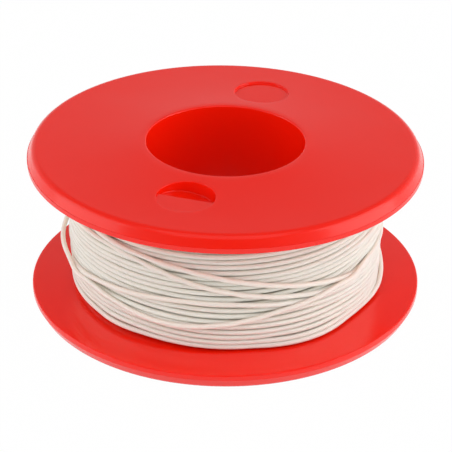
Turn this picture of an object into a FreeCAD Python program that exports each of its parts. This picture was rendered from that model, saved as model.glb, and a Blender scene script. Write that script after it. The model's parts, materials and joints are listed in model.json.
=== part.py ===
import FreeCAD, Part
import math
import os

from FreeCAD import Vector

# Wire spool: two equal red mouldings joined in the barrel, wound with thin white insulated wire.
# Millimetres. +Z is the spool's axis, and the origin is the centre of the foot that it stands on.

# Flanges
flange_radius = 35.0
overall_height = 30.5
rim_thickness = 3.0
web_rise = 1.0
rim_bevel_height = 2.0
rim_bevel_inset = 1.0
parting_ledge = 0.08
shoulder_round = 1.2
rim_round = 0.3
web_root_round = 0.8

# Bore, and the slight rise of the outer face from the rim to its mouth
bore_radius = 14.0
bore_lip_round = 0.3
collar_rise = 0.6
collar_flat = 0.7
collar_width = 19.0

# Barrel, and the keyed lap that joins its two halves
barrel_wall = 2.4
lap_skin = 1.2
lap_length = 4.0
lap_clearance = 0.05
lap_count = 3

# Blind pockets in each outer face, on one circle. The deep one goes deep on the bore's side only.
pocket_radius = 5.0
pocket_wall = 3.0
pocket_azimuth = 107.5
deep_pocket_depth = 1.5
deep_pocket_fall = 0.15
deep_pocket_step = 0.2
shallow_pocket_depth = 0.3
pocket_round = 0.15

# Wire, which fills the spool up to winding_depth below the flanges' rims
wire_diameter = 0.85
conductor_radius = 0.2
conductor_length = 3.0
winding_depth = 6.6
layer_gap = 0.55
climb_turns = 0.5
climb_lead = 0.15
crossing_shares = (1.0, 0.8, 0.55, 0.25)
crossing_azimuth = 270.0
crossing_half_width = 45.0
turn_clearance = 0.5
package_clearance = 0.1
core_clearance = 0.05
slant = 0.55
slack_bulge = 0.75
slack_azimuth = 182.0
slack_half_width = 38.0
start_azimuth = 90.0
tail_length = 4.0
biarcs_per_turn = 4

# How far a cutter runs past what it cuts, how near counts as on, and the points that an arc is measured on
cut_margin = 1.0
tolerance = 0.01
points_per_arc = 12

# What follows from them
middle = overall_height / 2
face_level = collar_rise
rim_level = face_level + rim_thickness
barrel_radius = bore_radius + barrel_wall
collar_radius = bore_radius + collar_width
pocket_circle_radius = bore_radius + pocket_wall + pocket_radius
web_slope = web_rise / (flange_radius - barrel_radius)
wire_radius = wire_diameter / 2
layer_radius = flange_radius - winding_depth - wire_radius
crossing_radius = layer_radius + wire_diameter + turn_clearance
crossing_turns = len(crossing_shares) - 1


def web_level(radius):
    """Height of the lower flange's inner face at a radius."""
    return rim_level + (flange_radius - radius) * web_slope


lowest_turn = web_level(layer_radius) + package_clearance + wire_radius
highest_turn = overall_height - lowest_turn
layer_turns = int((highest_turn - lowest_turn) / (wire_diameter + layer_gap))


def point(radius, level):
    """A point of a half section, in the XZ plane."""
    return Vector(radius, 0, level)


def line(start, end):
    return Part.LineSegment(start, end).toShape()


def corner_arc(before, corner, after, radius):
    """The arc that rounds a corner between two straight runs."""
    to_before = (before - corner).normalize()
    to_after = (after - corner).normalize()
    half_angle = to_before.getAngle(to_after) / 2
    reach = radius / math.tan(half_angle)
    centre = corner + (to_before + to_after).normalize() * (radius / math.sin(half_angle))
    near_corner = centre + (corner - centre).normalize() * radius
    return Part.Arc(corner + to_before * reach, near_corner, corner + to_after * reach).toShape()


def collar_arc():
    """From the foot's flat to the face, which it meets smoothly."""
    inner = bore_radius + bore_lip_round + collar_flat
    width = collar_radius - inner
    arc_radius = (width ** 2 + collar_rise ** 2) / (2 * collar_rise)
    half_turn = math.asin(width / arc_radius) / 2
    mid_radius = collar_radius - arc_radius * math.sin(half_turn)
    mid_level = face_level - arc_radius * (1 - math.cos(half_turn))
    return Part.Arc(point(inner, 0), point(mid_radius, mid_level), point(collar_radius, face_level)).toShape()


def half_section():
    """Half section of one moulding: flange below, barrel up to the middle of the spool."""
    ledge_radius = flange_radius - parting_ledge
    bevel_foot = point(flange_radius - rim_bevel_inset, face_level)
    bevel_top = point(ledge_radius, face_level + rim_bevel_height)
    rim_corner = point(flange_radius, rim_level)
    root_corner = point(barrel_radius, web_level(barrel_radius))
    barrel_end = point(barrel_radius, middle)
    land_start = point(flange_radius, face_level + rim_bevel_height)
    mouth_corner = point(bore_radius, 0)
    bore_end = point(bore_radius, middle)
    lip = corner_arc(bore_end, mouth_corner, point(collar_radius, 0), bore_lip_round)
    collar = collar_arc()
    bevel_edge = corner_arc(point(collar_radius, face_level), bevel_foot, bevel_top, shoulder_round)
    rim_edge = corner_arc(land_start, rim_corner, root_corner, rim_round)
    root = corner_arc(rim_corner, root_corner, barrel_end, web_root_round)

    edges = [
        line(bore_end, lip.firstVertex(True).Point),
        lip,
        line(lip.lastVertex(True).Point, collar.firstVertex(True).Point),
        collar,
        line(collar.lastVertex(True).Point, bevel_edge.firstVertex(True).Point),
        bevel_edge,
        line(bevel_edge.lastVertex(True).Point, bevel_top),
        line(bevel_top, land_start),
        line(land_start, rim_edge.firstVertex(True).Point),
        rim_edge,
        line(rim_edge.lastVertex(True).Point, root.firstVertex(True).Point),
        root,
        line(root.lastVertex(True).Point, barrel_end),
        line(barrel_end, bore_end),
    ]
    return Part.Wire(edges)


def ring_sector(inner, outer, low, high, centre_angle, half_angle):
    """A piece of a tube wall between two angles, in degrees."""
    corners = [point(inner, low), point(outer, low), point(outer, high), point(inner, high)]
    section = Part.Face(Part.makePolygon(corners + corners[:1]))
    section.rotate(Vector(0, 0, 0), Vector(0, 0, 1), centre_angle - half_angle)
    return section.revolve(Vector(0, 0, 0), Vector(0, 0, 1), 2 * half_angle)


def add_keyed_lap(half):
    """Fingers on the outer skin of the wall alternate with gaps that take the other half's fingers."""
    lap_radius = bore_radius + lap_skin
    sector = 360.0 / (2 * lap_count)
    side_gap = math.degrees(lap_clearance / barrel_radius)
    for index in range(lap_count):
        finger_angle = sector / 2 + 2 * sector * index
        gap = ring_sector(lap_radius, barrel_radius + cut_margin, middle - lap_length - lap_clearance,
                          middle + cut_margin, finger_angle + sector, sector / 2)
        half = half.cut(gap)
        finger = ring_sector(lap_radius + lap_clearance, barrel_radius, middle - lap_length,
                             middle + lap_length, finger_angle, sector / 2 - side_gap)
        half = half.fuse(finger)
    return half.removeSplitter()


def pocket(azimuth, depth, fall):
    """Cutter for a round pocket in the lower outer face. Its floor falls towards +X by fall per mm."""
    angle = math.radians(azimuth)
    centre = Vector(pocket_circle_radius * math.cos(angle), pocket_circle_radius * math.sin(angle), 0)
    reach = pocket_radius + cut_margin
    floor = face_level + depth
    low_left = Vector(-reach, -reach, -cut_margin)
    low_right = Vector(reach, -reach, -cut_margin)
    high_right = Vector(reach, -reach, floor + fall * reach)
    high_left = Vector(-reach, -reach, floor - fall * reach)
    side = Part.makePolygon([low_left, low_right, high_right, high_left, low_left])
    envelope = Part.Face(side).extrude(Vector(0, 2 * reach, 0))
    cylinder = Part.makeCylinder(pocket_radius, rim_level + cut_margin, Vector(0, 0, -cut_margin))
    cutter = cylinder.common(envelope)
    cutter.translate(centre)
    return cutter


def deep_pocket():
    """A shallow round step, and a deep half moon on the side that faces the bore."""
    reach = pocket_radius + cut_margin
    bore_side = Part.makeBox(reach, 2 * reach, rim_level + 2 * cut_margin, Vector(-reach, -reach, -cut_margin))
    bore_side.translate(Vector(pocket_circle_radius, 0, 0))
    bore_side.rotate(Vector(0, 0, 0), Vector(0, 0, 1), pocket_azimuth)
    half_moon = pocket(pocket_azimuth, deep_pocket_depth, deep_pocket_fall).common(bore_side)
    return pocket(pocket_azimuth, deep_pocket_step, 0).fuse(half_moon)


def cut_pockets(half):
    half = half.cut(deep_pocket())
    return half.cut(pocket(pocket_azimuth + 180, shallow_pocket_depth, 0))


def is_pocket_mouth(edge, azimuth):
    """Whether an edge lies on the outer face and on the rim of the pocket at an azimuth."""
    angle = math.radians(azimuth)
    place = edge.valueAt((edge.FirstParameter + edge.LastParameter) / 2)
    from_centre = math.hypot(place.x - pocket_circle_radius * math.cos(angle),
                             place.y - pocket_circle_radius * math.sin(angle))
    on_face = edge.BoundBox.ZMax <= face_level + tolerance
    return on_face and abs(from_centre - pocket_radius) <= tolerance


def round_pocket_mouths(half):
    azimuths = (pocket_azimuth, pocket_azimuth + 180)
    mouths = [edge for edge in half.Edges if any(is_pocket_mouth(edge, azimuth) for azimuth in azimuths)]
    return half.makeFillet(pocket_round, mouths)


def spool_half():
    """One moulding, flange down."""
    half = Part.Face(half_section()).revolve(Vector(0, 0, 0), Vector(0, 0, 1), 360)
    half = round_pocket_mouths(cut_pockets(half))
    return add_keyed_lap(half)


def turned_over(shape):
    """The same moulding with its flange up, turned half a turn about the X direction."""
    copy = shape.copy()
    copy.rotate(Vector(0, 0, middle), Vector(1, 0, 0), 180)
    return copy


def buried_turns():
    """The inner turns as one ring, clear of the barrel and of both flanges."""
    inner = barrel_radius + core_clearance
    outer = layer_radius - wire_radius - core_clearance
    low_inner = web_level(inner) + package_clearance
    low_outer = web_level(outer) + package_clearance
    cut = web_root_round
    lower = [point(inner, low_inner + cut), point(inner + cut, web_level(inner + cut) + package_clearance),
             point(outer, low_outer)]
    upper = [point(p.x, overall_height - p.z) for p in reversed(lower)]
    section = Part.Face(Part.makePolygon(lower + upper + lower[:1]))
    return section.revolve(Vector(0, 0, 0), Vector(0, 0, 1), 360)


def smooth_step(value):
    """From 0 to 1, level at both ends."""
    value = min(max(value, 0.0), 1.0)
    return value * value * (3 - 2 * value)


def slack(azimuth):
    """How far the last crossing turn stands off the package at an azimuth in degrees."""
    away = abs((azimuth - slack_azimuth + 180) % 360 - 180)
    return slack_bulge * smooth_step(1 - away / slack_half_width)


def crossing_share(azimuth):
    """Level of a crossing turn, as a share of the package: each pass of the front drops it one step."""
    past_layer = azimuth - start_azimuth - 360 * layer_turns
    turn = min(int(past_layer // 360), crossing_turns - 1)
    into_turn = past_layer - 360 * turn + start_azimuth
    drop = smooth_step((into_turn - crossing_azimuth + crossing_half_width) / (2 * crossing_half_width))
    before, after = crossing_shares[turn:turn + 2]
    return before + (after - before) * drop


def route_point(turns):
    """Centre of the wire after a number of turns: up the package, then back down across it."""
    travel = highest_turn - lowest_turn
    azimuth = start_azimuth + 360 * turns
    climb = smooth_step((turns - layer_turns + climb_lead) / climb_turns)
    radius = layer_radius + (crossing_radius - layer_radius) * climb
    if turns <= layer_turns:
        share = turns / layer_turns
        level = lowest_turn + travel * share
        level += slant * math.sin(math.pi * share) * math.sin(math.radians(azimuth - slack_azimuth))
    else:
        level = lowest_turn + travel * crossing_share(azimuth)
    if turns > layer_turns + crossing_turns - 1:
        radius += slack(azimuth)
    angle = math.radians(azimuth)
    return Vector(radius * math.cos(angle), radius * math.sin(angle), level)


def route_direction(turns):
    step = 0.001
    return (route_point(turns + step) - route_point(turns - step)).normalize()


def arc_between(start, direction, end):
    """The arc from start to end that leaves start in a direction."""
    chord = end - start
    across = chord - direction * chord.dot(direction)
    radius = chord.dot(chord) / (2 * across.Length)
    centre = start + across.normalize() * radius
    middle_of_arc = centre + (start + end - centre * 2).normalize() * radius
    return Part.Arc(start, middle_of_arc, end).toShape()


def biarc(start, start_direction, end, end_direction):
    """Two arcs that join two points along given directions and meet smoothly."""
    chord = end - start
    directions = start_direction + end_direction
    square = 2 * (1 - start_direction.dot(end_direction))
    linear = chord.dot(directions)
    reach = (-linear + math.sqrt(linear ** 2 + square * chord.dot(chord))) / square
    joint = (start + start_direction * reach + end - end_direction * reach) * 0.5
    joint_direction = (end - end_direction * reach - start - start_direction * reach).normalize()
    return [arc_between(start, start_direction, joint), arc_between(joint, joint_direction, end)]


def outer_route():
    """The edges of the wire's route, and the centre and direction of its cut end."""
    count = (layer_turns + crossing_turns) * biarcs_per_turn
    stations = [index / biarcs_per_turn for index in range(count + 1)]
    edges = []
    ends = [(route_point(turns), route_direction(turns)) for turns in stations]
    for before, after in zip(ends, ends[1:]):
        edges += biarc(*before, *after)
    last_point, last_direction = ends[-1]
    tail_end = last_point + last_direction * tail_length
    edges.append(line(last_point, tail_end))
    return edges, tail_end, last_direction


def least_gap(edges):
    """Least gap of the wire to itself, from points along its route more than half a turn apart."""
    points = []
    travelled = 0.0
    for edge in edges:
        for index in range(points_per_arc):
            share = index / points_per_arc
            place = edge.valueAt(edge.FirstParameter + share * (edge.LastParameter - edge.FirstParameter))
            points.append((travelled + share * edge.Length, place))
        travelled += edge.Length
    half_turn = math.pi * layer_radius
    least = math.inf
    for index, (distance, here) in enumerate(points):
        for other_distance, there in points[index + 1:]:
            if other_distance - distance > half_turn:
                least = min(least, here.distanceToPoint(there))
    return least - wire_diameter, travelled


def outer_turns():
    """The outer turns as one unbroken tube, drilled for the conductor at its cut end."""
    edges, tail_end, tail_direction = outer_route()
    gap, length = least_gap(edges)
    print("outer turns: least gap to itself %.3f mm, length %.1f mm" % (gap, length))
    start_point = route_point(0)
    ring = Part.makeCircle(wire_radius, start_point, route_direction(0))
    tube = Part.Wire(edges).makePipeShell([Part.Wire([ring])], True, False)
    print("outer turns: volume %.2f, section times length %.2f" % (
        tube.Volume, math.pi * wire_radius ** 2 * length))
    conductor = Part.makeCylinder(conductor_radius, conductor_length,
                                  tail_end - tail_direction * conductor_length, tail_direction)
    return tube.cut(conductor), conductor


def write(name, shape):
    solids = shape.Solids
    print("%s: %d solid, valid %s, volume %.1f" % (name, len(solids), shape.isValid(), shape.Volume))
    if len(solids) == 1:
        shape = solids[0]
    shape.exportStep("parts/" + name + ".step")


os.makedirs("parts", exist_ok=True)

lower_half = spool_half()
turns, conductor = outer_turns()
write("lower_spool_half", lower_half)
write("upper_spool_half", turned_over(lower_half))
write("buried_turns", buried_turns())
write("outer_turns", turns)
write("conductor", conductor)
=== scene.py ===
import json
import math

import bmesh
import bpy
import numpy as np
from mathutils import Matrix, Quaternion, Vector
from mathutils.geometry import delaunay_2d_cdt


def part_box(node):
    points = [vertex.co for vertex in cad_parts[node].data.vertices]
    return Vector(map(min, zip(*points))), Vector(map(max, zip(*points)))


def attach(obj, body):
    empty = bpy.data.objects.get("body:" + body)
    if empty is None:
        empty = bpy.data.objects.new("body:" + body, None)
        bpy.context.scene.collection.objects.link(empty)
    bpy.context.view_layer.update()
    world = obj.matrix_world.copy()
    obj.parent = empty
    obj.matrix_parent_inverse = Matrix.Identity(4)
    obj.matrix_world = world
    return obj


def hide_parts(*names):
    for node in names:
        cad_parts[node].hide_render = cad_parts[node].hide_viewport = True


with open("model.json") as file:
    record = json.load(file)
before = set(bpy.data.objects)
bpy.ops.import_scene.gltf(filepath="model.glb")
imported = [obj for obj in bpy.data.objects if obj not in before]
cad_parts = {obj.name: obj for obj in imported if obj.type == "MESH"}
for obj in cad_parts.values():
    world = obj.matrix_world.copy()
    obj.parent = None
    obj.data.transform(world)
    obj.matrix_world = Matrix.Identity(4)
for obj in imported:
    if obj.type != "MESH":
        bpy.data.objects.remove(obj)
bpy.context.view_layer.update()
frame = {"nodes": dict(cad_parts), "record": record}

mm = 0.001
scene = bpy.context.scene


# Camera
# A long lens 37 cm from the spool, looking down on it by 28.5 degrees, as the photograph was taken.
camera_place = Vector((0, -323.73, 188.99)) * mm
camera_aim = Vector((0.12, 0, 13.2)) * mm
camera_roll = math.radians(0.204)
camera_data = bpy.data.cameras.new("camera")
camera_data.lens = 162.8
camera_data.sensor_width = 36
camera_data.clip_start = 0.01
camera = bpy.data.objects.new("camera", camera_data)
scene.collection.objects.link(camera)
looking = (camera_aim - camera_place).to_track_quat("-Z", "Y")
camera.rotation_mode = "QUATERNION"
camera.rotation_quaternion = looking @ Quaternion((0, 0, 1), camera_roll)
camera.location = camera_place
scene.camera = camera


# Spool halves
# Two equal mouldings in high-impact polystyrene, dyed through in signal red and moulded with a gloss.
# Each is a flange with half of the barrel. They push together in the barrel, over a lap with three keys.
flange_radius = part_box("lower_spool_half")[1].x
spool_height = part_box("upper_spool_half")[1].z
mounts = {mount["name"]: mount["dims"] for mount in frame["record"]["mounts"]}
bore_radius = mounts["bore"]["r_mm"] * mm
pocket_radius = mounts["upper_recesses"]["hole_r_mm"] * mm
pocket_circle_radius = mounts["upper_recesses"]["pcd_mm"] * mm / 2

collar_rise = 0.6 * mm
collar_flat = 0.7 * mm
collar_width = 19.0 * mm
bore_lip_round = 0.3 * mm
rim_thickness = 3.0 * mm
web_rise = 1.0 * mm
web_root_round = 0.8 * mm
rim_bevel_height = 2.0 * mm
rim_bevel_inset = 1.0 * mm
parting_ledge = 0.08 * mm
shoulder_round = 1.2 * mm
rim_round = 0.3 * mm
barrel_wall = 2.4 * mm
lap_skin = 1.2 * mm
lap_length = 4.0 * mm
lap_clearance = 0.05 * mm
lap_count = 3
pocket_azimuth = math.radians(107.5)
deep_pocket_depth = 1.5 * mm
deep_pocket_fall = 0.15
deep_pocket_step = 0.2 * mm
shallow_pocket_depth = 0.3 * mm
pocket_mouth_round = 0.15 * mm
pocket_floor_round = 0.12 * mm
seam_chamfer = 0.06 * mm
upper_lean = math.radians(0.75)

spool_middle = spool_height / 2
barrel_radius = bore_radius + barrel_wall
collar_radius = bore_radius + collar_width
rim_level = collar_rise + rim_thickness
web_slope = web_rise / (flange_radius - barrel_radius)
collar_start = bore_radius + bore_lip_round + collar_flat

arc_steps = 7
spool_steps = 288
pocket_steps = 96
straight_side_steps = 24
pocket_floor_rings = (0.07, 0.3, 0.6)
face_grid = 0.7 * mm
crease_margin = 0.06 * mm
weld_distance = 0.002 * mm
place_digits = 8
tiny_length = 1e-9
tiny_angle = 1e-6
sharp_edge = math.radians(35)


def linear_colour(hex_value):
    """An sRGB colour such as "#d81008" as linear RGBA."""
    colour = []
    for index in (1, 3, 5):
        share = int(hex_value[index:index + 2], 16) / 255
        colour.append(share / 12.92 if share <= 0.04045 else ((share + 0.055) / 1.055) ** 2.4)
    return colour + [1]


def add_node(tree, kind, settings=(), links=()):
    """A new node in a tree. A setting is an attribute or an input's name; a link feeds an input."""
    node = tree.nodes.new(kind)
    for name, value in dict(settings).items():
        if isinstance(name, str) and hasattr(node, name):
            setattr(node, name, value)
        else:
            node.inputs[name].default_value = value
    for name, source in dict(links).items():
        tree.links.new(source, node.inputs[name])
    return node


def new_material(name):
    """A material with its tree, which holds a Principled shader and an output, and that shader."""
    material = bpy.data.materials.new(name)
    material.use_nodes = True
    tree = material.node_tree
    tree.nodes.clear()
    shader = add_node(tree, "ShaderNodeBsdfPrincipled")
    add_node(tree, "ShaderNodeOutputMaterial", links={"Surface": shader.outputs["BSDF"]})
    return material, tree, shader


def finish_piece(piece, slot, *nodes):
    """What every modelled piece gets: the body it rides on, and the nodes it stands for are hidden. Its
    finish, slot, is not used.
    """
    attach(piece, "root")
    if nodes:
        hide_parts(*nodes)


def mesh_piece(name, shape, material):
    """A piece from a bmesh, smoothly shaded."""
    mesh = bpy.data.meshes.new(name)
    shape.to_mesh(mesh)
    shape.free()
    mesh.shade_smooth()
    mesh.materials.append(material)
    piece = bpy.data.objects.new(name, mesh)
    scene.collection.objects.link(piece)
    return piece


def red_polystyrene():
    """Injection-moulded high-impact polystyrene: bright red and glossy, with a soft glow inside thin edges.

    Cooling left sinks about 9 mm wide, which bend the reflections, and a faint peel, here 0.5 mm wide."""
    material, tree, shader = new_material("red_gloss_polystyrene")
    shader.inputs["Base Color"].default_value = linear_colour("#fb1a02")
    shader.inputs["Roughness"].default_value = 0.2
    shader.inputs["IOR"].default_value = 1.5
    shader.inputs["Subsurface Weight"].default_value = 0.25
    shader.inputs["Subsurface Radius"].default_value = (1.0, 0.1, 0.05)
    shader.inputs["Subsurface Scale"].default_value = 1.5 * mm
    place = add_node(tree, "ShaderNodeTexCoord").outputs["Object"]
    sinks = add_node(tree, "ShaderNodeTexNoise", {"Scale": 1 / (9 * mm), "Detail": 1.0}, {"Vector": place})
    peel = add_node(tree, "ShaderNodeTexNoise", {"Scale": 1 / (0.5 * mm), "Detail": 2.0}, {"Vector": place})
    sunk = add_node(tree, "ShaderNodeBump", {"Strength": 0.25, "Distance": 0.25 * mm},
                    {"Height": sinks.outputs["Fac"]})
    peeled = add_node(tree, "ShaderNodeBump", {"Strength": 0.15, "Distance": 0.01 * mm},
                      {"Height": peel.outputs["Fac"], "Normal": sunk.outputs["Normal"]})
    tree.links.new(peeled.outputs["Normal"], shader.inputs["Normal"])
    return material


def web_level(radius):
    """Height of a flange's inner face at a radius."""
    return rim_level + (flange_radius - radius) * web_slope


def face_level(radius):
    """Height of the outer face, which swells from the rim to the bore."""
    width = collar_radius - collar_start
    arc_radius = (width ** 2 + collar_rise ** 2) / (2 * collar_rise)
    inside = max(collar_radius - max(radius, collar_start), 0)
    return collar_rise - (arc_radius - math.sqrt(arc_radius ** 2 - inside ** 2))


def rounded(before, corner, after, radius):
    """Points of the arc that rounds a corner of an outline."""
    before, corner, after = Vector(before), Vector(corner), Vector(after)
    to_before = (before - corner).normalized()
    to_after = (after - corner).normalized()
    half_angle = to_before.angle(to_after) / 2
    centre = corner + (to_before + to_after).normalized() * (radius / math.sin(half_angle))
    start = (corner + to_before * (radius / math.tan(half_angle)) - centre).normalized()
    end = (corner + to_after * (radius / math.tan(half_angle)) - centre).normalized()
    turns = [start.slerp(end, step / arc_steps).normalized() for step in range(arc_steps + 1)]
    return [centre + turn * radius for turn in turns]


def outline(corners):
    """An outline from (point, rounding) pairs. Runs get points near their ends, which keep them flat."""
    points = []
    for index, (corner, rounding) in enumerate(corners):
        inner = 0 < index < len(corners) - 1
        if inner and rounding:
            points += rounded(corners[index - 1][0], corner, corners[index + 1][0], rounding)
        else:
            points.append(Vector(corner))
    held = []
    for before, after in zip(points, points[1:]):
        held.append(before)
        if (after - before).length > 4 * crease_margin:
            step = (after - before).normalized() * crease_margin
            held += [before + step, after - step]
    return held + points[-1:]


def rim_and_barrel(skin_end, skin_radius):
    """Half section from the outer face's edge round the rim to the bore, then the lip.

    The barrel's outer skin ends at skin_end and steps in to skin_radius there."""
    ledge_radius = flange_radius - parting_ledge
    corners = [
        ((collar_radius, collar_rise), 0),
        ((flange_radius - rim_bevel_inset, collar_rise), shoulder_round),
        ((ledge_radius, collar_rise + rim_bevel_height), 0),
        ((flange_radius, collar_rise + rim_bevel_height), 0),
        ((flange_radius, rim_level), rim_round),
        ((barrel_radius, web_level(barrel_radius)), web_root_round),
        ((barrel_radius, skin_end), 0),
        ((skin_radius, skin_end), 0),
        ((skin_radius, spool_middle), 0),
        ((bore_radius + seam_chamfer, spool_middle), 0),
        ((bore_radius, spool_middle - seam_chamfer), 0),
        ((bore_radius, 0), bore_lip_round),
        ((collar_start, 0), 0),
    ]
    return outline(corners)


def turned_skin(shape):
    """The rim, barrel and bore, turned round the axis. Its sections alternate between finger and gap."""
    finger = rim_and_barrel(spool_middle + lap_length, bore_radius + lap_skin + lap_clearance)
    gap = rim_and_barrel(spool_middle - lap_length - lap_clearance, bore_radius + lap_skin)
    sector = 2 * math.pi / (2 * lap_count)
    side_gap = lap_clearance / barrel_radius
    stations = []
    for step in range(spool_steps):
        angle = 2 * math.pi * step / spool_steps
        within = angle % sector
        is_finger = int(angle // sector) % 2 == 0

        # Rounding spreads the step at 300 degrees over one station. It stays inside the barrel.
        if within < tiny_angle:
            before, after = (gap, finger) if is_finger else (finger, gap)
            edge = angle + (side_gap if is_finger else -side_gap)
            stations += [(edge, before), (edge, after)]
        else:
            stations.append((angle, finger if is_finger else gap))
    rings = []
    for angle, section in stations:
        turn = Matrix.Rotation(angle, 3, "Z")
        rings.append([shape.verts.new(turn @ Vector((point.x, 0, point.y))) for point in section])
    for ring, following in zip(rings, rings[1:] + rings[:1]):
        for index in range(len(ring) - 1):
            corners = (ring[index], following[index], following[index + 1], ring[index + 1])
            if len({tuple(round(value, place_digits) for value in corner.co) for corner in corners}) > 2:
                shape.faces.new(corners)


def along(azimuth):
    """Unit vector in the plane at an azimuth."""
    return Vector((math.cos(azimuth), math.sin(azimuth)))


def circle_points(radius, steps, centre=(0, 0), first=0.0):
    """Points round a circle in the plane, from the azimuth first on."""
    azimuths = [first + 2 * math.pi * step / steps for step in range(steps)]
    return [Vector(centre) + along(azimuth) * radius for azimuth in azimuths]


def outer_face(shape):
    """The outer face between the lip and the rim, as small triangles round the mouths of the pockets."""
    mouth_radius = pocket_radius + pocket_mouth_round
    loops = [circle_points(collar_start, spool_steps), circle_points(collar_radius, spool_steps)]
    centres = []
    for azimuth in (pocket_azimuth, pocket_azimuth + math.pi):
        centres.append(along(azimuth) * pocket_circle_radius)
        loops.append(circle_points(mouth_radius, pocket_steps, centres[-1], azimuth))
    points, edges = [], []
    for loop in loops:
        first = len(points)
        points += loop
        edges += [(first + index, first + (index + 1) % len(loop)) for index in range(len(loop))]
    rows = int(collar_radius / face_grid)
    for row in range(-rows, rows + 1):
        for column in range(-rows, rows + 1):
            point = Vector(((column + (row % 2) / 2) * face_grid, row * face_grid * math.sqrt(3) / 2))
            clear = collar_start + face_grid / 2 < point.length < collar_radius - face_grid / 2
            if clear and all((point - centre).length > mouth_radius + face_grid / 3 for centre in centres):
                points.append(point)
    flat, _, triangles, _, _, _ = delaunay_2d_cdt(points, edges, [], 0, tiny_length)
    corners = [shape.verts.new((point.x, point.y, face_level(point.length))) for point in flat]

    # A triangle is left out where its middle lies in the bore or in a pocket's mouth.
    bore_edge = collar_start * math.cos(math.pi / spool_steps)
    mouth_edge = mouth_radius * math.cos(math.pi / pocket_steps)
    for triangle in triangles:
        middle = (flat[triangle[0]] + flat[triangle[1]] + flat[triangle[2]]) / 3
        in_ring = bore_edge < middle.length < collar_radius
        if in_ring and all((middle - centre).length > mouth_edge for centre in centres):
            shape.faces.new([corners[index] for index in reversed(triangle)])


def quarter(radius):
    """Steps of a quarter round: how far in from its wall, and how far up or down from its floor."""
    turns = [math.pi / 2 * step / arc_steps for step in range(arc_steps + 1)]
    return [(radius * (1 - math.sin(turn)), radius * (1 - math.cos(turn))) for turn in turns]


def half_moon(azimuth, inset):
    """Outline of the bore's side of a pocket, drawn in by inset: its arc, then its straight side."""
    centre = along(azimuth) * pocket_circle_radius
    radius = pocket_radius - inset
    corner = math.pi / 2 + math.asin(inset / radius)
    share = (2 * math.pi - 2 * corner) / (pocket_steps // 2)
    azimuths = [azimuth + corner + share * step for step in range(pocket_steps // 2 + 1)]
    arc = [centre + along(turned) * radius for turned in azimuths]
    return arc + [arc[-1].lerp(arc[0], step / straight_side_steps) for step in range(1, straight_side_steps)]


def pocket_mouth(azimuth):
    """The rounded mouth of a pocket, as rings of points and levels."""
    centre = along(azimuth) * pocket_circle_radius
    rings = []
    for out, drop in quarter(pocket_mouth_round):
        ring = circle_points(pocket_radius + out, pocket_steps, centre, azimuth)
        rings.append([(point, face_level(point.length) + drop) for point in ring])
    return rings


def ring_vertices(shape, rings):
    """Vertices for rings of points and levels."""
    return [[shape.verts.new((point.x, point.y, level)) for point, level in ring] for ring in rings]


def ring_walls(shape, rings):
    """Faces between closed rings of vertices."""
    for ring, following in zip(rings, rings[1:]):
        for index in range(len(ring)):
            after = (index + 1) % len(ring)
            shape.faces.new((ring[index], ring[after], following[after], following[index]))


def shallow_pocket(shape, azimuth):
    """A round pocket with a level floor."""
    centre = along(azimuth) * pocket_circle_radius
    floor_level = collar_rise + shallow_pocket_depth
    foot = [(inset, rise) for rise, inset in quarter(pocket_floor_round)]
    foot += [(pocket_radius * share, 0) for share in pocket_floor_rings]
    rings = pocket_mouth(azimuth)
    for inset, rise in foot:
        ring = circle_points(pocket_radius - inset, pocket_steps, centre, azimuth)
        rings.append([(point, floor_level - rise) for point in ring])
    rings = ring_vertices(shape, rings)
    ring_walls(shape, rings)
    shape.faces.new(rings[-1])


def deep_pocket(shape, azimuth):
    """A round step, and on the bore's side a half moon whose floor slants down towards +X."""
    centre = along(azimuth) * pocket_circle_radius
    step_level = collar_rise + deep_pocket_step
    step_points = circle_points(pocket_radius, pocket_steps, centre, azimuth)
    step_ring = [(point, step_level) for point in step_points]
    ring_walls(shape, ring_vertices(shape, pocket_mouth(azimuth) + [step_ring]))
    rings = [[(point, step_level) for point in half_moon(azimuth, 0)]]
    for rise, inset in quarter(pocket_floor_round) + [(0, pocket_radius * pocket_floor_rings[0])]:
        outline_points = half_moon(azimuth, inset)
        floor_levels = [collar_rise + deep_pocket_depth + deep_pocket_fall * (point.x - centre.x) - rise
                        for point in outline_points]
        rings.append(list(zip(outline_points, floor_levels)))
    straight_side = rings[0][pocket_steps // 2 + 1:]
    rings = ring_vertices(shape, rings)
    ring_walls(shape, rings)
    shape.faces.new(rings[-1])
    quarter_turn = pocket_steps // 4
    step_edge = step_ring[-quarter_turn:] + step_ring[:quarter_turn + 1] + straight_side[::-1]
    shape.faces.new(ring_vertices(shape, [step_edge])[0])


def lean_shift(place):
    """How far a place in the upper half is lifted, because the wire has pushed its flange up a little at -X.

    The lift begins above the lap and is whole at the flange."""
    begins = spool_middle + lap_length
    share = min(max((place.z - begins) / (spool_height - rim_level - begins), 0), 1)
    return -math.tan(upper_lean) * place.x * share * share * (3 - 2 * share)


def spool_half(name, node, turned_over, material):
    """One moulding, made flange down and turned over for the upper one."""
    shape = bmesh.new()
    turned_skin(shape)
    outer_face(shape)
    deep_pocket(shape, pocket_azimuth)
    shallow_pocket(shape, pocket_azimuth + math.pi)
    bmesh.ops.remove_doubles(shape, verts=shape.verts, dist=weld_distance)
    bmesh.ops.recalc_face_normals(shape, faces=shape.faces)
    if turned_over:
        middle = Vector((0, 0, spool_middle))
        bmesh.ops.rotate(shape, verts=shape.verts, cent=middle, matrix=Matrix.Rotation(math.pi, 3, "X"))
        for corner in shape.verts:
            corner.co.z += lean_shift(corner.co)
    piece = mesh_piece(name, shape, material)
    piece.data.set_sharp_from_angle(angle=sharp_edge)
    finish_piece(piece, "red_plastic", node)
    return piece


red = red_polystyrene()
lower_half = spool_half("lower_half", "lower_spool_half", False, red)
upper_half = spool_half("upper_half", "upper_spool_half", True, red)


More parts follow.
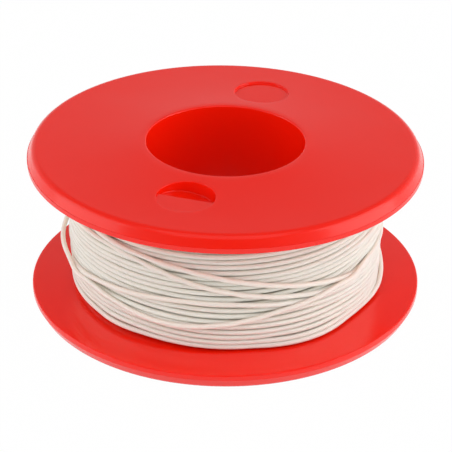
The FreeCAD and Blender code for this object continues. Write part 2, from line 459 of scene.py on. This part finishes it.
# Wire
# Thin hookup wire: a copper core in soft white insulation, wound by hand feed, so its turns wander, cross
# and lie in each other's grooves. It is laid here turn by turn, each one pulled tight over those before.
wire_diameter = 0.85 * mm
stations = 240
start_azimuth = 90
first_layer_radius = 25.15 * mm

# Levels are in mm and azimuths in degrees. Every turn starts at the back. Three whole layers go up and down
# under the turns that show. Those go down the spool, with their levels at front_azimuths.
layer_turns = 22
layer_ends = (4.65, 25.8)
hidden_layers = 3
shown_from = hidden_layers * layer_turns
front_azimuths = (200, 225, 250, 270, 290, 310, 335)
front_levels = (
    (25.6, 25.6, 25.5, 25.4, 25.5, 25.4, 25.3), (24.7, 24.7, 24.5, 24.3, 24.4, 24.4, 24.4),
    (23.8, 23.7, 23.4, 23.3, 23.4, 23.5, 23.6), (22.9, 22.3, 22.1, 22.2, 22.4, 22.5, 22.7),
    (20.7, 21.4, 21.3, 21.1, 21.5, 21.6, 21.9), (19.8, 20.4, 20.3, 20.2, 20.3, 20.5, 21.0),
    (18.6, 19.2, 19.3, 19.1, 19.2, 19.5, 20.2), (17.8, 18.2, 18.1, 18.1, 18.2, 18.4, 19.3),
    (16.9, 17.2, 17.1, 17.1, 17.2, 17.4, 18.5), (16.1, 16.3, 16.1, 16.0, 16.2, 16.5, 17.6),
    (15.2, 15.5, 15.0, 14.9, 15.2, 15.6, 16.8), (14.4, 14.6, 14.0, 13.8, 14.1, 14.4, 15.9),
    (13.5, 13.6, 12.9, 12.7, 12.9, 13.3, 15.1), (12.7, 12.7, 12.0, 11.7, 11.7, 11.5, 10.8),
    (11.9, 11.8, 10.9, 10.7, 10.7, 10.5, 10.0), (10.2, 10.4, 9.9, 9.6, 9.7, 9.6, 9.1),
    (9.3, 9.5, 9.0, 8.7, 8.7, 8.5, 8.3), (8.4, 8.5, 8.0, 7.7, 7.5, 7.5, 7.4),
    (7.5, 7.6, 7.0, 6.7, 6.6, 6.5, 6.6), (6.6, 6.6, 6.2, 5.6, 5.5, 5.5, 5.8),
    (5.7, 5.5, 5.2, 4.8, 4.7, 4.8, 5.0),
)

# The last four turns slant over the others, given as (azimuth, level) places: one rises in front, two cross
# from the upper left, and the slack one stands off the package at the left and ends behind.
rising_turn = ((140, 11.1), (206, 11.1), (213, 11.8), (222, 12.6), (236, 12.9), (255, 13.6), (275, 13.5),
               (290, 12.7), (300, 12.1), (315, 11.8), (385, 11.7))
first_crossing = ((150, 21.1), (229, 21.0), (241, 19.9), (250, 18.3), (262, 16.7), (278, 15.0), (292, 13.8),
                  (311, 12.6), (385, 12.5))
second_crossing = ((150, 21.9), (223, 21.9), (241, 20.9), (257, 19.8), (273, 18.0), (292, 15.8), (315, 13.8),
                   (331, 13.4), (385, 13.4))
slack_turn = ((140, 14.9), (175, 14.1), (181, 13.6), (186, 12.8), (191, 11.8), (197, 11.2), (205, 11.0),
              (216, 10.9), (227, 10.1), (236, 9.2), (248, 8.5), (262, 8.9), (278, 10.1), (296, 12.2),
              (305, 13.1), (317, 13.8), (332, 14.3), (360, 14.3), (450, 9.876))
slanting_turns = (rising_turn, first_crossing, second_crossing, slack_turn)
slanting_from = shown_from + len(front_levels)
turn_count = slanting_from + len(slanting_turns)
slack_reach = 0.85 * mm
slack_radius = 28.35 * mm
slack_azimuth = 187
slack_half_width = 22

# The free end runs straight and stops just short of the conductor's cut face.
free_end_radius = 29.325 * mm
free_end_level = slack_turn[-1][1] * mm
free_end_length = 3.97 * mm
free_end_stations = 40
free_end_points = 11

# Where the lowest turns lie loosely beside the lower flange: the row, counted from the last one, the azimuth
# and half width of the place, and the radius there.
loose_places = ((3, 300, 60, 27.8 * mm), (2, 300, 60, 28.1 * mm), (1, 300, 60, 28.4 * mm),
                (2, 228, 50, 27.65 * mm), (1, 228, 50, 27.95 * mm))

# How far a turn strays from its row, how much of that it takes over from the turn before, and how steady it
# is in front, where its row is given. What it is fed is smoothed over a few stations.
wander_seed = 7
wander_size = 0.2 * mm
wander_keep = 0.75
wander_waves = 4
front_steadiness = 0.85
feed_smoothing = 6

# How a turn settles. In each step it straightens, is drawn in, goes back to its row, and is pushed off the
# turns below it.
settling_steps = 150
settling_overlap = 24
straightening = 0.5
draw_in = 0.006 * mm
row_hold = 0.02
slanting_hold = 0.04
laying_gap = 0.02 * mm
push_limit = 0.2 * mm
push_out = 0.6
push_across = 0.35
pushes = 2


def spread_out(values, width):
    """Values smoothed by a moving average, with the ends held."""
    padded = np.concatenate([np.full(width, values[0]), values, np.full(width, values[-1])])
    return np.convolve(padded, np.full(2 * width + 1, 1 / (2 * width + 1)), "valid")


def guided_levels():
    """The level that each station of the wire is fed at."""
    route = [(layer * layer_turns, start_azimuth, layer_ends[layer % 2])
             for layer in range(hidden_layers + 1)]
    for row, levels in enumerate(front_levels):
        route += [(shown_from + row, azimuth, level) for azimuth, level in zip(front_azimuths, levels)]
    for index, places in enumerate(slanting_turns):
        route += [(slanting_from + index, azimuth, level) for azimuth, level in places]
    turns = [turn + (azimuth - start_azimuth) / 360 for turn, azimuth, level in route]
    levels = [level * mm for turn, azimuth, level in route]
    fed = np.interp(np.arange(turn_count * stations) / stations, turns, levels)
    return spread_out(spread_out(fed, feed_smoothing), feed_smoothing)


def wander(random):
    """How far each station strays sideways. A turn strays much as the one before it."""
    azimuths = np.arange(stations) * 2 * math.pi / stations
    waves = np.zeros((wander_waves, 2))
    rows = []
    for turn in range(turn_count + 1):
        waves = wander_keep * waves + math.sqrt(1 - wander_keep ** 2) * random.normal(size=waves.shape)
        row = 0
        for index, (cosine, sine) in enumerate(waves, 1):
            row = row + (cosine * np.cos(index * azimuths) + sine * np.sin(index * azimuths)) / index
        rows.append(row)
    rows = np.array(rows) * wander_size
    share = np.arange(stations) / stations
    ease = share * share * (3 - 2 * share)
    return (rows[:-1] * (1 - ease) + rows[1:] * ease).ravel()


def lay_wire(levels, least_radius, hold):
    """Radius and level of every station. Each turn is pulled in, pushed off the turns below and eased.

    It stays between the flanges, and follows the lean of the upper one."""
    total = len(levels)
    radii = np.zeros(total)
    placed = levels.copy()
    turned = math.radians(start_azimuth) + np.arange(total) * 2 * math.pi / stations
    lean = -math.tan(upper_lean) * slack_radius * np.cos(turned)
    for start in range(0, total, stations):
        first = max(start - settling_overlap, 0)
        here = np.arange(first, start + stations)
        below = here[None, :] - stations * np.arange(1, turn_count)[:, None]
        below = below[(below >= 0).any(axis=1)] if start else below[:1]
        laid = below >= 0
        below_radius = np.where(laid, radii[np.maximum(below, 0)], -1.0)
        below_level = placed[np.maximum(below, 0)]
        level = placed[here].copy()
        wanted, least, spring = levels[here], least_radius[here], hold[here]
        rise = wire_diameter ** 2 - (level - below_level) ** 2
        resting = np.where(laid & (rise > 0), below_radius + np.sqrt(np.maximum(rise, 0)), -1.0).max(axis=0)
        radius = np.where(here < start, radii[here], np.maximum(resting, least) + laying_gap)
        free = (here >= start - settling_overlap // 2).astype(float)
        before_radius = radii[first - 1] if first else radius[0]
        before_level = placed[first - 1] if first else level[0]
        for step in range(settling_steps):
            padded = np.concatenate([[before_radius], radius, [radius[-1]]])
            straight = 0.5 * (padded[:-2] + padded[2:]) - radius
            padded = np.concatenate([[before_level], level, [2 * level[-1] - level[-2]]])
            sideways = 0.5 * (padded[:-2] + padded[2:]) - level
            radius = radius + free * (straightening * straight - draw_in)
            level = level + free * (straightening * sideways + spring * (wanted - level))
            for push_number in range(pushes):
                out, across = radius - below_radius, level - below_level
                apart = np.hypot(out, across) + tiny_length
                push = np.clip(wire_diameter - apart, 0, push_limit) / apart
                radius = radius + free * push_out * (push * out).sum(axis=0)
                level = level + free * push_across * (push * across).sum(axis=0)
                radius = np.maximum(radius, least)
                wall = rim_level + (flange_radius - radius) * web_slope + wire_diameter / 2
                level = np.clip(level, wall, spool_height - wall + lean[here])
        radii[here] = radius
        placed[here] = level
    return radii, placed


def least_radii():
    """How far out the wire lies at least: on the turns inside, loosely in places, and sprung at the end."""
    places = np.arange(turn_count * stations) / stations
    azimuths = start_azimuth + 360 * (places - (turn_count - 1))
    least = np.full(len(places), first_layer_radius)
    bulge = np.clip(1 - np.abs(azimuths - slack_azimuth) / slack_half_width, 0, 1)
    bulge = bulge * bulge * (3 - 2 * bulge)
    for row, azimuth, half_width, radius in loose_places:
        own_azimuths = azimuths + 360 * (turn_count - 1 - slanting_from + row)
        near = np.clip(1 - np.abs(own_azimuths - azimuth) / half_width, 0, 1)
        ease = near * near * (3 - 2 * near)
        least = np.maximum(least, first_layer_radius + (radius - first_layer_radius) * ease)
    last = azimuths >= start_azimuth
    least[last] = np.where(bulge[last] > 0, slack_radius + slack_reach * bulge[last], least[last])
    return least


def wire_tree():
    """Geometry Nodes that draw a closed tube along a curve."""
    tree = bpy.data.node_groups.new("wire_along_route", "GeometryNodeTree")
    sockets = (("Route", "INPUT", "NodeSocketGeometry"), ("Diameter", "INPUT", "NodeSocketFloat"),
               ("Sides", "INPUT", "NodeSocketInt"), ("Insulation", "INPUT", "NodeSocketMaterial"),
               ("Wire", "OUTPUT", "NodeSocketGeometry"))
    for name, side, kind in sockets:
        tree.interface.new_socket(name, in_out=side, socket_type=kind)
    given = add_node(tree, "NodeGroupInput")
    half = add_node(tree, "ShaderNodeMath", {"operation": "DIVIDE", 1: 2.0},
                    {0: given.outputs["Diameter"]})
    ring = add_node(tree, "GeometryNodeCurvePrimitiveCircle", {"mode": "RADIUS"},
                    {"Resolution": given.outputs["Sides"], "Radius": half.outputs[0]})
    tube = add_node(tree, "GeometryNodeCurveToMesh", {"Fill Caps": True},
                    {"Curve": given.outputs["Route"], "Profile Curve": ring.outputs["Curve"]})
    smooth = add_node(tree, "GeometryNodeSetShadeSmooth", links={"Geometry": tube.outputs["Mesh"]})
    real = add_node(tree, "GeometryNodeRealizeInstances", links={"Geometry": smooth.outputs["Geometry"]})
    painted = add_node(tree, "GeometryNodeSetMaterial", links={"Geometry": real.outputs["Geometry"],
                                                               "Material": given.outputs["Insulation"]})
    add_node(tree, "NodeGroupOutput", links={"Wire": painted.outputs["Geometry"]})
    return tree


def white_insulation():
    """Soft white insulation, extruded: creamy, smooth and low in gloss. Light spreads inside it by a
    millimetre or so, which softens the shading of the turns and warms the grooves between them."""
    material, tree, shader = new_material("white_extruded_insulation")
    shader.inputs["Base Color"].default_value = linear_colour("#f5efe1")
    shader.inputs["Roughness"].default_value = 0.42
    shader.inputs["Subsurface Weight"].default_value = 0.9
    shader.inputs["Subsurface Radius"].default_value = (1.0, 0.95, 0.9)
    shader.inputs["Subsurface Scale"].default_value = 1.3 * mm
    shader.inputs["IOR"].default_value = 1.46
    return material


def wire_piece(name, points, tree, material, sides):
    """A stretch of the wire as a mesh, drawn by the tree along its points."""
    curve = bpy.data.curves.new(name + "_route", "CURVE")
    curve.dimensions = "3D"
    spline = curve.splines.new("POLY")
    spline.points.add(len(points) - 1)
    spline.points.foreach_set("co", np.column_stack([points, np.ones(len(points))]).ravel())
    drawn = bpy.data.objects.new(name + "_route", curve)
    scene.collection.objects.link(drawn)
    modifier = drawn.modifiers.new("wire", "NODES")
    modifier.node_group = tree
    inputs = {item.name: item.identifier for item in tree.interface.items_tree if item.in_out == "INPUT"}
    modifier[inputs["Diameter"]] = wire_diameter
    modifier[inputs["Sides"]] = sides
    modifier[inputs["Insulation"]] = material
    evaluated = drawn.evaluated_get(bpy.context.evaluated_depsgraph_get())
    mesh = bpy.data.meshes.new_from_object(evaluated)
    mesh.name = name
    bpy.data.objects.remove(drawn)
    piece = bpy.data.objects.new(name, mesh)
    scene.collection.objects.link(piece)
    return piece


def with_free_end(points):
    """The wire's points with their last ones eased out to the free end, which runs straight to -X."""
    share = np.clip(np.arange(1 - free_end_stations, 1) / free_end_stations + 1, 0, 1)[:, None]
    ease = share * share * (3 - 2 * share)
    tail = points[-free_end_stations:]
    outward = tail[:, :2] / np.linalg.norm(tail[:, :2], axis=1)[:, None]
    wanted = np.column_stack([outward * free_end_radius, np.full(free_end_stations, free_end_level)])
    points[-free_end_stations:] = tail * (1 - ease) + wanted * ease
    run = np.linspace(0, free_end_length, free_end_points + 1)
    straight = [(-along_x, free_end_radius, free_end_level) for along_x in run]
    return np.concatenate([points, straight])


random = np.random.default_rng(wander_seed)
all_stations = np.arange(turn_count * stations)
azimuths = math.radians(start_azimuth) + all_stations * 2 * math.pi / stations

# In front, from azimuth 200 to 340, this is 1, and behind, from 20 to 160, it is 0.
in_front = np.clip(0.5 - 1.5 * np.sin(azimuths), 0, 1)
is_shown = all_stations >= shown_from * stations
is_slanting = all_stations >= slanting_from * stations
stray = wander(random)
stray = np.where(is_shown, stray * (1 - front_steadiness * in_front), stray)
stray[is_slanting] = 0
hold = np.where(is_slanting, slanting_hold, row_hold)
radii, levels = lay_wire(guided_levels() + stray, least_radii(), hold)
wire_points = with_free_end(np.column_stack([radii * np.cos(azimuths), radii * np.sin(azimuths), levels]))

insulation = white_insulation()
tube_tree = wire_tree()
middle_start = (hidden_layers - 1) * layer_turns * stations
outer_start = shown_from * stations
inner_points = wire_points[:middle_start + 1]
middle_points = wire_points[middle_start:outer_start + 1]
outer_points = wire_points[outer_start:]
inner_wire = wire_piece("inner_wire", inner_points, tube_tree, insulation, sides=8)
middle_wire = wire_piece("middle_wire", middle_points, tube_tree, insulation, sides=10)
outer_wire = wire_piece("outer_wire", outer_points, tube_tree, insulation, sides=14)
finish_piece(inner_wire, "wire_insulation", "buried_turns")
finish_piece(middle_wire, "wire_insulation", "buried_turns")
finish_piece(outer_wire, "wire_insulation", "outer_turns")


# Conductor
# The wire's tinned copper core, seen at its cut end. It keeps its CAD form.
def tinned_copper():
    """Copper wire in a thin coat of tin: a pale, slightly dull metal."""
    material, tree, shader = new_material("tinned_copper")
    shader.inputs["Base Color"].default_value = linear_colour("#d9d6cf")
    shader.inputs["Metallic"].default_value = 1.0
    shader.inputs["Roughness"].default_value = 0.3
    return material


for material_slot in frame["nodes"]["conductor"].material_slots:
    material_slot.material = tinned_copper()


# Stage
# A white table that runs out of sight, in a studio with white walls that grow grey with height. Most light
# comes from wide panels at the sides and in front. Three weak softboxes add a little shape and shadow.
floor_half = 3.0
own_white = 0.99
floor_corners = [(x, y, 0) for x, y in ((-floor_half, -floor_half), (floor_half, -floor_half),
                                        (floor_half, floor_half), (-floor_half, floor_half))]
floor_mesh = bpy.data.meshes.new("floor")
floor_mesh.from_pydata(floor_corners, [], [(0, 1, 2, 3)])
floor = bpy.data.objects.new("floor", floor_mesh)
scene.collection.objects.link(floor)


def is_seen(tree):
    """Whether a ray comes from the camera, a reflection or a see-through piece, as 0 or 1."""
    path = add_node(tree, "ShaderNodeLightPath")
    either = add_node(tree, "ShaderNodeMath", {"operation": "MAXIMUM"},
                      {0: path.outputs["Is Camera Ray"], 1: path.outputs["Is Glossy Ray"]})
    return add_node(tree, "ShaderNodeMath", {"operation": "MAXIMUM"},
                    {0: either.outputs[0], 1: path.outputs["Is Transmission Ray"]}).outputs[0]


def white_table():
    """A matt white laminate. Most of the white that is seen of it is its own, so its shadow is faint."""
    material, tree, shader = new_material("white_matt_laminate")
    shader.inputs["Base Color"].default_value = linear_colour("#f4f4f4")
    shader.inputs["Roughness"].default_value = 0.9
    shader.inputs["Specular IOR Level"].default_value = 0.0
    glow = add_node(tree, "ShaderNodeEmission", {"Color": (1, 1, 1, 1), "Strength": 1.0})
    share = add_node(tree, "ShaderNodeMath", {"operation": "MULTIPLY", 1: own_white}, {0: is_seen(tree)})
    mixed = add_node(tree, "ShaderNodeMixShader", links={0: share.outputs[0], 1: shader.outputs["BSDF"],
                                                         2: glow.outputs["Emission"]})
    tree.links.new(mixed.outputs["Shader"], tree.get_output_node("ALL").inputs["Surface"])
    return material


floor_mesh.materials.append(white_table())

world = bpy.data.worlds.new("studio")
scene.world = world
world.use_nodes = True
sky = world.node_tree
sky.nodes.clear()
direction = add_node(sky, "ShaderNodeTexCoord").outputs["Generated"]
parts = add_node(sky, "ShaderNodeSeparateXYZ", links={"Vector": direction})


def grey_ramp(tree, share, steps):
    """A grey that changes with a share, from (share, grey) steps."""
    ramp = add_node(tree, "ShaderNodeValToRGB", links={"Fac": share})
    ends = ramp.color_ramp.elements
    for index, (position, grey) in enumerate(steps):
        step = ends[index] if index < 2 else ends.new(position)
        step.position = position
        step.color = (grey, grey, grey, 1)
    return ramp.outputs["Color"]


wall_grey = grey_ramp(sky, parts.outputs["Z"],
                      [(0.0, 0.85), (1.0, 0.2), (0.2, 0.6), (0.45, 0.42), (0.52, 0.3)])
light_by_height = grey_ramp(sky, parts.outputs["Z"], [(0.0, 1.0), (1.0, 0.65), (0.5, 0.7)])
behind_camera = add_node(sky, "ShaderNodeMapRange",
                         {"interpolation_type": "SMOOTHSTEP", "From Min": -0.95, "From Max": -0.2,
                          "To Min": 0.1, "To Max": 1.0},
                         {"Value": parts.outputs["Y"]})
seen_wall = add_node(sky, "ShaderNodeBackground",
                     links={"Color": wall_grey, "Strength": behind_camera.outputs["Result"]})
across = add_node(sky, "ShaderNodeMath", {"operation": "MULTIPLY_ADD", 1: 0.5, 2: 0.5},
                  {0: parts.outputs["X"]})
side_panels = grey_ramp(sky, across.outputs[0],
                        [(0.0, 0.6), (1.0, 0.88), (0.2, 0.55), (0.5, 0.14), (0.8, 0.62)])
front_gain = add_node(sky, "ShaderNodeMapRange",
                      {"From Min": -1.0, "From Max": -0.2, "To Min": 2.65, "To Max": 1.88},
                      {"Value": parts.outputs["Y"]})
panel_light = add_node(sky, "ShaderNodeMath", {"operation": "MULTIPLY"},
                       {0: side_panels, 1: front_gain.outputs["Result"]})
soft_light = add_node(sky, "ShaderNodeBackground",
                      links={"Color": light_by_height, "Strength": panel_light.outputs[0]})
backdrop = add_node(sky, "ShaderNodeBackground", {"Strength": 1.0, "Color": (1, 1, 1, 1)})
path = add_node(sky, "ShaderNodeLightPath")
lit_or_seen = add_node(sky, "ShaderNodeMixShader",
                       links={0: is_seen(sky), 1: soft_light.outputs["Background"],
                              2: seen_wall.outputs["Background"]})
sky_mix = add_node(sky, "ShaderNodeMixShader",
                   links={0: path.outputs["Is Camera Ray"], 1: lit_or_seen.outputs["Shader"],
                          2: backdrop.outputs["Background"]})
add_node(sky, "ShaderNodeOutputWorld", links={"Surface": sky_mix.outputs["Shader"]})


def softbox(name, azimuth, elevation, distance, size, watts):
    """A square area lamp that faces the spool."""
    lamp = bpy.data.lights.new(name, "AREA")
    lamp.size = size
    lamp.energy = watts
    box = bpy.data.objects.new(name, lamp)
    turn, rise = math.radians(azimuth), math.radians(elevation)
    away = Vector((math.cos(turn) * math.cos(rise), math.sin(turn) * math.cos(rise), math.sin(rise)))
    box.location = away * distance
    box.rotation_mode = "QUATERNION"
    box.rotation_quaternion = (-away).to_track_quat("-Z", "Y")
    scene.collection.objects.link(box)


softbox("right_softbox", azimuth=-8, elevation=20, distance=0.7, size=0.6, watts=1.4)
softbox("left_softbox", azimuth=188, elevation=20, distance=0.7, size=0.6, watts=1.1)
softbox("front_softbox", azimuth=-90, elevation=62, distance=0.8, size=0.8, watts=1.0)

scene.view_settings.view_transform = "Standard"
